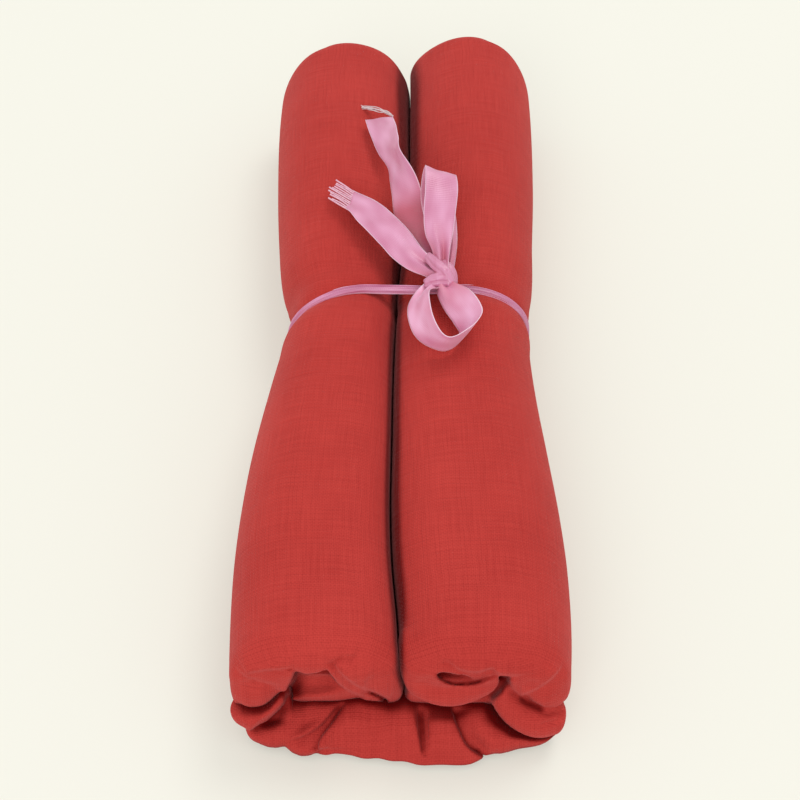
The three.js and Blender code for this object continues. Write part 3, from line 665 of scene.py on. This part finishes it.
# Rows from the knot outwards: right, back and up in ribbon widths, then face, lean and wide
UPPER_TAIL = [
    (0.0, 0.1, 0.1, 10, 0, 0.36), (-0.38, 1.0, 0.14, 20, 6, 0.7), (-0.78, 2.05, 0.24, 14, 12, 0.98),
    (-0.95, 2.75, 0.32, 10, 14, 1.0), (-1.12, 3.75, 0.44, 8, 30, 0.96), (-1.44, 4.85, 0.54, 0, 64, 0.9),
    (-1.64, 5.6, 0.52, -6, 50, 1.0), (-1.82, 6.45, 0.4, -10, 30, 1.0), (-1.98, 7.3, 0.22, -10, 16, 0.96),
]
LEFT_TAIL = [
    (-0.02, 0.04, 0.34, 50, 0, 0.42), (-0.32, 0.3, 0.36, 48, 6, 0.56), (-0.78, 0.73, 0.38, 52, 14, 0.8),
    (-1.16, 1.22, 0.38, 50, 16, 1.0), (-1.49, 1.63, 0.46, 48, 14, 1.0), (-1.96, 2.23, 0.48, 46, 10, 1.0),
    (-2.32, 2.68, 0.42, 60, 6, 0.98), (-2.62, 3.04, 0.36, 72, 0, 0.94), (-2.82, 3.26, 0.3, 78, 0, 0.92),
]
UPPER_LOOP = [
    (0.0, 0.1, 0.5, 0, 0, 0.42), (0.02, 0.85, 0.6, 8, 0, 0.52), (-0.04, 1.4, 0.82, 12, 4, 0.88),
    (-0.03, 1.98, 1.08, 8, 4, 1.0), (0.02, 2.62, 1.36, 0, -2, 1.0), (0.0, 3.12, 1.5, -10, -6, 0.97),
    (-0.05, 3.44, 1.32, -18, -10, 0.95), (-0.12, 3.34, 0.98, -16, -6, 0.97),
    (-0.1, 2.7, 0.72, 0, 0, 1.0), (0.04, 1.95, 0.52, 6, -6, 0.92), (0.2, 1.2, 0.34, 6, -6, 0.6),
    (0.14, 0.1, 0.16, 0, 0, 0.4),
]
LOWER_LOOP = [
    (0.05, -0.1, 0.3, 10, 0, 0.4), (0.3, -0.62, 0.36, 14, 14, 0.85), (0.52, -1.2, 0.42, 18, 28, 1.0),
    (0.76, -1.84, 0.5, 18, 36, 1.0), (0.84, -2.34, 0.55, -2, 54, 1.0), (0.62, -2.84, 0.54, -40, 66, 1.0),
    (0.14, -3.12, 0.5, -54, 68, 1.0), (-0.32, -2.72, 0.46, -24, 60, 0.98),
    (-0.6, -1.88, 0.42, 2, 50, 0.96), (-0.62, -0.9, 0.36, 0, 46, 0.86),
    (-0.14, -0.06, 0.18, -20, 14, 0.42),
]


def strip_frame(rows):
    """Middles, directions across and normals of a ribbon piece, in mm, and how far it is spread."""
    fine = smooth_path(rows, STRIP_CUTS)
    middles = fine[:, :3] * RIBBON
    middles[:, 0] += KNOT_MIDDLE[0]
    middles[:, 1] += KNOT_MIDDLE[1]
    middles[:, 2] += taut_line(middles[:, 0], middles[:, 1]) + RIBBON_LIFT
    face, lean = np.radians(fine[:, 3]), np.radians(fine[:, 4])
    across = np.stack([np.cos(face) * np.cos(lean), np.sin(face) * np.cos(lean), np.sin(lean)], axis=1)
    ahead = np.gradient(middles, axis=0)
    normal = np.cross(across, ahead)
    normal /= np.linalg.norm(normal, axis=1)[:, None]
    return middles, across, normal, fine[:, 5]


def lengths_along(path):
    return np.concatenate([[0], np.cumsum(np.linalg.norm(np.diff(path, axis=0), axis=1))])


def strip_faces(rows, columns, closed=False):
    """Faces between rows of points, and from the last row to the first where it is closed."""
    pairs = [(row * columns, (row + 1) % rows * columns) for row in range(rows if closed else rows - 1)]
    return [(a + c, a + c + 1, b + c + 1, b + c) for a, b in pairs for c in range(columns - 1)]


def thicken(piece, thickness):
    thick = piece.modifiers.new("thick", "SOLIDIFY")
    thick.thickness = thickness / 1000
    thick.offset = 0


def ribbon_strip(name, rows, phase, shaded):
    """A ribbon piece, with shade painted in its pleats' valleys. Shaded lists where it lies deep between
    others and gets painted shade: place, reach and strength.
    """
    middles, across, normal, wide = strip_frame(rows)
    along = lengths_along(middles)
    share = np.linspace(-1, 1, STRIP_COLUMNS)
    points, uv, hollow = [], [], []
    for index in range(len(middles)):
        loose = 1 - wide[index]
        pleating = np.sin(share * 5.2 + phase + along[index] / 17)
        pleat = loose * 3.0 * pleating
        bow = CURL * (share ** 2 - 0.4) * np.sin(along[index] / 13 + phase + 0.8)
        ripple = 0.18 * np.sin(along[index] / 3.1 + 2 * share + phase) * wide[index]
        offset = (pleat + bow + ripple)[:, None] * normal[index]
        points.append(middles[index] + share[:, None] * across[index] * wide[index] * RIBBON / 2 + offset)
        # Painted shade: darker in the pleats' valleys and where the piece lies between others
        valley = np.clip(0.5 - 0.5 * pleating, 0, 1)
        place = along[index] / along[-1]
        shade = sum(deep * math.exp(-((place - at) / reach) ** 2) for at, reach, deep in shaded)
        hollow.append(np.clip(1.3 * loose * valley + shade, 0, 1))
        uv.append(np.stack([share * RIBBON / 2, np.full(STRIP_COLUMNS, along[index])], axis=1))
    faces = strip_faces(len(middles), STRIP_COLUMNS)
    piece = make_mesh(name, np.concatenate(points), faces, np.concatenate(uv))
    add_painted_shade(piece, np.concatenate(hollow))
    thicken(piece, RIBBON_THICK)
    return piece, along[-1]


def wrap_strip():
    """The bunched ribbon round the bundle, pleated lengthwise."""
    outline = []
    for side, start in (("right", math.pi / 2), ("left", -math.pi / 2)):
        for angle in start - math.pi * np.arange(0, 90) / 89:
            c, s = math.cos(angle), math.sin(angle)
            u = math.copysign(abs(c) ** (2 / OUTER_POWER), c)
            w = math.copysign(abs(s) ** (2 / OUTER_POWER), s)
            middle, half = section(np.array(TIE_Y))[side]
            cut = section(tie_place(middle + u * half))
            seat = SEAT + 0.1 - TIE_DEPTH * (0.3 + 0.7 * step(-0.3, 0.3, abs(u)))
            outline.append((float(cut[side][0] + u * (cut[side][1] + seat)),
                            float(cut["middle"] + w * (cut["half"] + seat))))
    outline = np.array(outline)
    ring = np.vstack([outline, outline[:1]])
    steps = lengths_along(ring)
    place = np.linspace(0, steps[-1], WRAP_STEPS, endpoint=False)
    xs, zs = np.interp(place, steps, ring[:, 0]), np.interp(place, steps, ring[:, 1])
    for _ in range(3):
        xs = (np.roll(xs, 1) + 2 * xs + np.roll(xs, -1)) / 4
        zs = (np.roll(zs, 1) + 2 * zs + np.roll(zs, -1)) / 4
    tangent = np.stack([np.roll(xs, -1) - np.roll(xs, 1), np.roll(zs, -1) - np.roll(zs, 1)], axis=1)
    tangent /= np.linalg.norm(tangent, axis=1)[:, None]
    out = np.stack([-tangent[:, 1], tangent[:, 0]], axis=1)
    share = np.linspace(0, 1, WRAP_COLUMNS)
    points, uv = [], []
    for index in range(WRAP_STEPS):
        turn = place[index] / steps[-1] * 2 * math.pi
        width = WRAP_WIDE + 0.5 * math.sin(3 * turn + 1)
        drift = 0.6 * math.sin(2 * turn) + 0.4 * math.sin(5 * turn + 2)
        phase = 2 * math.pi * WRAP_PLEATS * share + drift
        uneven = 0.8 + 0.2 * np.sin(7 * share + 4 * turn)
        height = 0.15 + 0.75 * np.sin(phase) * uneven - 1.1 * (2 * share - 1) ** 4
        back = width * (share - 0.5) + 0.30 * np.cos(phase)
        line = float(tie_place(xs[index])) + 0.35 * math.sin(3 * turn)
        points.append(np.stack([
            xs[index] + out[index, 0] * height, line + back, zs[index] + out[index, 1] * height], axis=1))
        uv.append(np.stack([(share - 0.5) * RIBBON, np.full(WRAP_COLUMNS, place[index])], axis=1))
    faces = strip_faces(WRAP_STEPS, WRAP_COLUMNS, closed=True)
    piece = make_mesh("ribbon_band", np.concatenate(points), faces, np.concatenate(uv))
    thicken(piece, WRAP_THICK)
    return piece, steps[-1]


# Turns of ribbon that cross in the knot: rows of x, y, z and radius from its middle
KNOT_TURNS = [
    [(-6.6, -2.2, -1.6, 2.2), (-2.8, -1.6, 0.2, 3.2), (2.4, -1.2, 0.2, 3.2), (6.0, -1.6, -1.8, 2.2)],
    [(-5.4, 13.0, 1.0, 1.8), (-4.0, 8.4, 3.0, 2.4), (-1.4, 4.2, 3.4, 2.8), (2.2, 0.6, 2.6, 2.8),
     (4.8, -3.2, -0.4, 2.2)],
    [(1.4, 8.0, 1.0, 2.0), (3.2, 4.6, 1.8, 2.3), (4.8, 1.2, 0.6, 2.2), (5.6, -1.6, -1.6, 1.8)],
]
# The pleats of one turn: across, up and thickness, as shares of the turn's radius
PLEATS = [(-0.72, -0.35, 0.46), (-0.22, 0.18, 0.42), (0.28, 0.10, 0.46), (0.74, -0.35, 0.40)]


def pleats(rows):
    """A bunched turn of ribbon: tubes that lie side by side along the rows."""
    path = smooth_path(rows, 4)
    ahead = np.gradient(path[:, :3], axis=0)
    side = np.cross(ahead, [0, 0, 1.0])
    side /= np.linalg.norm(side, axis=1)[:, None]
    for share, rise, size in PLEATS:
        tube = path.copy()
        tube[:, :3] += (share * side + rise * np.array([0, 0, 1.0])) * path[:, 3:]
        tube[:, 3] *= size
        yield tube


def knot_distance(points):
    local = points - KNOT_MIDDLE
    distance = np.full(len(points), 30.0)
    for rows in KNOT_TURNS:
        for tube in pleats(rows):
            distance = soft_min(distance, tube_distance(local, tube), KNOT_BLEND)
    return distance


band, band_length = wrap_strip()
KNOT_CELL = 0.38
knot = mesh_from("bow_knot", knot_distance, *(
    np.arange(middle - reach, middle + reach, KNOT_CELL)
    for middle, reach in zip(KNOT_MIDDLE, KNOT_REACH)))
knot_points = points_of(knot)
add_uv(knot, np.stack([knot_points[:, 0] % 5 - 2.5, knot_points[:, 1] - knot_points[:, 2]], axis=1))
# Painted shade in the creases between the knot's pleats
knot_normal = normals_of(knot_distance, knot_points)
add_painted_shade(knot, sum(0.5 * np.clip(1 - knot_distance(knot_points + knot_normal * reach) / reach, 0, 1)
                     for reach in (0.8, 2.0)))
tail_up, tail_up_length = ribbon_strip(
    "tail_upper", UPPER_TAIL, phase=0.4, shaded=[(0.31, 0.15, 1.25)])
tail_left, tail_left_length = ribbon_strip(
    "tail_left", LEFT_TAIL, phase=1.9, shaded=[(0.0, 0.10, 0.3)])
loop_up, loop_up_length = ribbon_strip(
    "loop_upper", UPPER_LOOP, phase=2.6, shaded=[(0.62, 0.12, 0.5), (0.0, 0.1, 0.3)])
loop_low, loop_low_length = ribbon_strip(
    "loop_lower", LOWER_LOOP, phase=0.9, shaded=[(0.10, 0.10, 0.35)])


# ---- Materials ----
THREAD_PITCH = 0.78  # of the cloth's weave, in mm
RIB_PITCH = 0.95  # of the ribbon's cross ribs, in mm


class Nodes:
    """Short calls for building one material's nodes."""

    def __init__(self, name):
        self.material = bpy.data.materials.new(name)
        self.material.use_nodes = True
        self.tree = self.material.node_tree
        self.shader = self.tree.nodes["Principled BSDF"]

    def put(self, target, value):
        if isinstance(value, bpy.types.NodeSocket):
            self.tree.links.new(value, target)
        else:
            target.default_value = value

    def node(self, kind, *values):
        """A new node, with the values on its first sockets."""
        node = self.tree.nodes.new("ShaderNode" + kind)
        for socket, value in zip(node.inputs, values):
            self.put(socket, value)
        return node

    def math(self, operation, a, b=0.0):
        node = self.node("Math", a, b)
        node.operation = operation
        return node.outputs[0]

    def plus(self, a, b):
        return self.math("ADD", a, b)

    def minus(self, a, b):
        return self.math("SUBTRACT", a, b)

    def times(self, a, b):
        return self.math("MULTIPLY", a, b)

    def sine(self, a):
        return self.math("SINE", a)

    def mix(self, share, a, b):
        node = self.node("Mix")
        node.data_type = "RGBA"
        for index, value in ((0, share), (6, a), (7, b)):
            self.put(node.inputs[index], value)
        return node.outputs[2]

    def noise(self, vector, scale, detail=2.0):
        node = self.node("TexNoise", vector)
        node.inputs["Scale"].default_value = scale
        node.inputs["Detail"].default_value = detail
        return node.outputs[0]

    def vector(self, x, y, z=0.0):
        return self.node("CombineXYZ", x, y, z).outputs[0]

    def split(self, vector):
        return self.node("SeparateXYZ", vector).outputs

    def range(self, value, low, high):
        """0 at low and 1 at high, with a soft step between."""
        node = self.node("MapRange", value, low, high)
        node.interpolation_type = "SMOOTHSTEP"
        return node.outputs[0]

    def bump(self, height, strength, distance):
        node = self.node("Bump")
        for name, value in (("Strength", strength), ("Distance", distance), ("Height", height)):
            self.put(node.inputs[name], value)
        return node.outputs[0]

    def cloth_uv(self):
        node = self.node("UVMap")
        node.uv_map = "cloth"
        return self.split(node.outputs[0])[:2]

    def place(self):
        return self.node("TexCoord").outputs["Object"]

    # Reads the painted shade stored on the points
    def hollow(self):
        node = self.node("Attribute")
        node.attribute_name = "hollow"
        return node.outputs["Fac"]

    def surface(self, colour, roughness, normal, constants):
        inputs = {"Base Color": colour, "Roughness": roughness, "Normal": normal, **constants}
        for name, value in inputs.items():
            self.put(self.shader.inputs[name], value)


def weave(n, u, v):
    """Height of a plain weave of uneven threads, with u and v in mm."""
    u = n.plus(u, n.times(n.noise(n.vector(u, v), 0.13), 1.4))
    v = n.plus(v, n.times(n.noise(n.vector(v, u), 0.11), 1.6))
    turn = math.pi / THREAD_PITCH
    both_ways = n.plus(n.sine(n.times(u, 2 * turn)), n.sine(n.times(v, 2 * turn)))
    over = n.times(n.sine(n.times(u, turn)), n.sine(n.times(v, turn)))
    grid = n.plus(n.times(both_ways, 0.3), n.times(over, 0.35))
    slub_long = n.noise(n.vector(n.times(u, 1.3), n.times(v, 0.045)), 1.0, 1.0)
    slub_cross = n.noise(n.vector(n.times(v, 1.3), n.times(u, 0.045), 7.0), 1.0, 1.0)
    slubs = n.minus(n.plus(slub_long, slub_cross), 1.0)
    return n.plus(grid, n.times(slubs, 1.8))


def cloth_material():
    """Cotton voile, with the weave turned on the ends and painted shade, a deeper red, in the folds and
    the groove.
    """
    n = Nodes("voile_weave")
    u, v = n.cloth_uv()
    place = n.place()
    x, _, z = n.split(place)
    normal = n.node("NewGeometry").outputs["Normal"]
    on_end = n.range(n.math("ABSOLUTE", n.split(normal)[1]), 0.62, 0.85)
    body = weave(n, u, v)
    end = weave(n, n.times(x, 1000), n.times(z, 1000))
    height = n.plus(n.times(body, n.minus(1.0, on_end)), n.times(end, on_end))
    patches = n.minus(n.noise(place, 24.0, 3.0), 0.5)
    share = n.plus(0.5, n.plus(n.times(height, 0.22), n.times(patches, 0.45)))
    colour = n.mix(share, (0.32, 0.020, 0.018, 1), (0.60, 0.062, 0.051, 1))
    # Painted shade: a dark red where the cloth lies in folds, creases and the groove
    colour = n.mix(n.range(n.hollow(), 0.08, 1.05), colour, (0.13, 0.001, 0.001, 1))
    n.surface(colour, n.plus(0.86, n.times(height, -0.04)), n.bump(height, 0.5, 0.0003), {
        "Specular IOR Level": 0.06, "Sheen Weight": 0.28, "Sheen Roughness": 0.40,
        "Sheen Tint": (1.0, 0.36, 0.36, 1)})
    return n.material


def satin_material(name, low, high, edge):
    """Satin ribbon with fine cross ribs, woven edges and painted shade, a deeper pink, in its hollows."""
    n = Nodes(name)
    u, v = n.cloth_uv()
    skew = n.plus(v, n.times(u, 0.10))
    ribs = n.sine(n.times(skew, 2 * math.pi / RIB_PITCH))
    warp = n.noise(n.vector(n.times(u, 3.0), n.times(v, 0.10)), 1.0, 1.0)
    soft = n.noise(n.vector(n.times(u, 0.11), n.times(v, 0.05)), 1.0, 1.0)
    height = n.plus(n.times(ribs, 0.5), n.times(n.minus(warp, 0.5), 1.6))
    colour = n.mix(n.plus(n.range(soft, 0.1, 0.9), n.times(height, 0.09)), low, high)
    rim = n.range(n.math("ABSOLUTE", u), 6.95, 7.3)
    colour = n.mix(n.times(rim, 0.75), colour, edge)
    # Painted shade: a deeper pink where the ribbon lies in pleats and between other pieces
    colour = n.mix(n.times(n.hollow(), 0.82), colour, (0.50, 0.045, 0.085, 1))
    n.surface(colour, n.plus(0.26, n.times(warp, 0.14)), n.bump(height, 0.30, 0.00016), {
        "Specular IOR Level": 0.80, "Sheen Weight": 0.30, "Sheen Tint": (1.0, 0.82, 0.90, 1)})
    return n.material


cloth = cloth_material()
satin = satin_material(
    "ribbon_satin", (0.50, 0.12, 0.24, 1), (0.78, 0.38, 0.58, 1), (0.86, 0.58, 0.74, 1))
# A lighter copy of the satin for the lower loop: painted light
satin_painted_light = satin_material(
    "ribbon_satin_painted_light", (0.66, 0.18, 0.33, 1), (0.93, 0.54, 0.78, 1), (0.95, 0.74, 0.87, 1))
for piece in (roll_left, roll_right, pad):
    piece.data.materials.append(cloth)
for piece in (band, knot, tail_up, tail_left, loop_up):
    piece.data.materials.append(satin)
loop_low.data.materials.append(satin_painted_light)


# ---- Threads at the cut ends ----
def threads(name, strands, material, radius):
    """Loose threads, each along rows of x, y and z in mm."""
    curve = bpy.data.curves.new(name, "CURVE")
    curve.dimensions = "3D"
    curve.bevel_depth = radius / 1000
    curve.bevel_resolution = 1
    curve.use_fill_caps = True
    for rows in strands:
        fine_rows = smooth_path(rows, 5)
        spline = curve.splines.new("POLY")
        spline.points.add(len(fine_rows) - 1)
        for point, row in zip(spline.points, fine_rows):
            point.co = (*(row[:3] / 1000), 1)
    piece = bpy.data.objects.new(name, curve)
    bpy.context.scene.collection.objects.link(piece)
    curve.materials.append(material)
    return piece


def thread_material(name, low, high):
    n = Nodes(name)
    place = n.place()
    colour = n.mix(n.noise(place, 900.0, 1.0), low, high)
    roughness = n.plus(0.5, n.times(n.noise(place, 400.0), 0.2))
    n.surface(colour, roughness, n.bump(n.noise(place, 2500.0), 0.4, 0.0001), {})
    return n.material


def cut_end(rows):
    """A cut end's middle, its direction across, half its width and the direction ahead."""
    middles, across, _, wide = strip_frame(rows)
    ahead = middles[-1] - middles[-4]
    return middles[-1], across[-1], wide[-1] * RIBBON / 2, ahead / np.linalg.norm(ahead)


def frayed(rows, count, reach, spread_by, lift, seed):
    """Strands that run on from the last row of a ribbon piece."""
    chance = np.random.default_rng(seed)
    middle, across, half, ahead = cut_end(rows)
    strands = []
    for share in np.linspace(-0.94, 0.94, count):
        share = share + chance.uniform(-0.05, 0.05)
        start = middle + across * share * half
        side = across * (share * spread_by + chance.uniform(-0.35, 0.35))
        length = reach * chance.uniform(0.75, 1.1)
        rise = np.array([0, 0, lift * chance.uniform(0.4, 1.3)])
        wobble = across * chance.uniform(-0.3, 0.3)
        strands.append([
            start - ahead * 1.2, start, start + ahead * length * 0.45 + side * 0.4 + rise * 0.7 + wobble,
            start + ahead * length + side + rise])
    return strands


# Where pulled threads lie: across, as a share of half the ribbon's width, and mm beyond the cut edge
PULLED_ROWS = [(0.96, -0.5), (0.70, 4.5), (0.16, 9.0), (-0.40, 13.0), (-0.96, 16.5)]


def pulled(rows, count, seed):
    """Threads pulled out of the cut edge, which lie in a loose bundle just beyond it."""
    chance = np.random.default_rng(seed)
    middle, across, half, ahead = cut_end(rows)
    strands = []
    for _ in range(count):
        strands.append([
            middle + across * half * (share + chance.uniform(-0.06, 0.06))
            + ahead * (beyond + min(abs(beyond) / 2, 1) * chance.uniform(-2.0, 2.0))
            + np.array([0, 0, chance.uniform(0, 1.2) - 0.10 * beyond]) for share, beyond in PULLED_ROWS])
    return strands


pale_thread = thread_material("thread_pale", (0.50, 0.34, 0.37, 1), (0.84, 0.72, 0.74, 1))
pink_thread = thread_material("thread_pink", (0.62, 0.24, 0.36, 1), (0.88, 0.60, 0.70, 1))
left_strands = frayed(LEFT_TAIL, count=11, reach=14.0, spread_by=0.2, lift=0.8, seed=5)
left_threads = threads("tail_left_threads", left_strands, pink_thread, radius=0.40)
up_strands = pulled(UPPER_TAIL, count=9, seed=9)
up_threads = threads("tail_upper_threads", up_strands, pale_thread, radius=0.22)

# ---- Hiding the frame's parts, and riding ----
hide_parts("left_roll")
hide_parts("right_roll")
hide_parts("base_pad")
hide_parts("ribbon_wrap")
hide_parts("ribbon_knot")
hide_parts("upper_tail")
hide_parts("left_tail")
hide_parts("upper_loop")
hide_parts("lower_loop")
for piece in (roll_left, roll_right, pad):
    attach(piece, "root")
for piece in (band, knot, tail_up, tail_left, loop_up, loop_low, left_threads, up_threads):
    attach(piece, "root")


# ---- Floor, light and camera ----
floor_data = bpy.data.meshes.new("floor")
floor_data.from_pydata([(-4, -4, 0), (4, -4, 0), (4, 4, 0), (-4, 4, 0)], [], [(0, 1, 2, 3)])
floor = bpy.data.objects.new("floor", floor_data)
floor.location.z = -0.0003
bpy.context.scene.collection.objects.link(floor)
paper = Nodes("floor_paper")
for socket, value in (
        ("Base Color", (0.49, 0.48, 0.44, 1)), ("Emission Color", (0.368, 0.374, 0.332, 1)),
        ("Emission Strength", 1.0), ("Roughness", 0.95), ("Specular IOR Level", 0.1)):
    paper.shader.inputs[socket].default_value = value
floor_data.materials.append(paper.material)


LIGHTS = [
    # name, place and size in m, power in W, colour
    ("key", (1.5, 1.9, 4.2), 2.2, 58, (1.0, 0.99, 0.97)),
    ("fill", (-1.0, -3.6, 2.4), 2.5, 52, (0.99, 0.99, 1.0)),
]
LIT_POINT = (0, 0, 0.03)
for name, place, size, power, colour in LIGHTS:
    data = bpy.data.lights.new(name, "AREA")
    data.shape = "DISK"
    data.size = size
    data.energy = power
    data.color = colour
    light = bpy.data.objects.new(name, data)
    light.location = place
    x, y, z = np.array(LIT_POINT) - np.array(place)
    light.rotation_euler = (math.atan2(math.hypot(x, y), -z), 0, math.atan2(y, x) - math.pi / 2)
    bpy.context.scene.collection.objects.link(light)

world = bpy.data.worlds.new("studio")
world.use_nodes = True
background = world.node_tree.nodes["Background"]
background.inputs["Color"].default_value = (1.0, 0.995, 0.975, 1)
background.inputs["Strength"].default_value = 0.84
bpy.context.scene.world = world

bpy.context.scene.view_settings.view_transform = "Standard"
# The photo's view: about 48 degrees above the horizontal, with a long lens
camera_data = bpy.data.cameras.new("camera")
camera_data.sensor_width = 36.0
camera_data.lens = 75.15
camera = bpy.data.objects.new("camera", camera_data)
camera.location = (0.0039, -0.5295, 0.5836)
camera.rotation_euler = (math.radians(42), 0, math.radians(0.55))
bpy.context.scene.collection.objects.link(camera)
bpy.context.scene.camera = camera
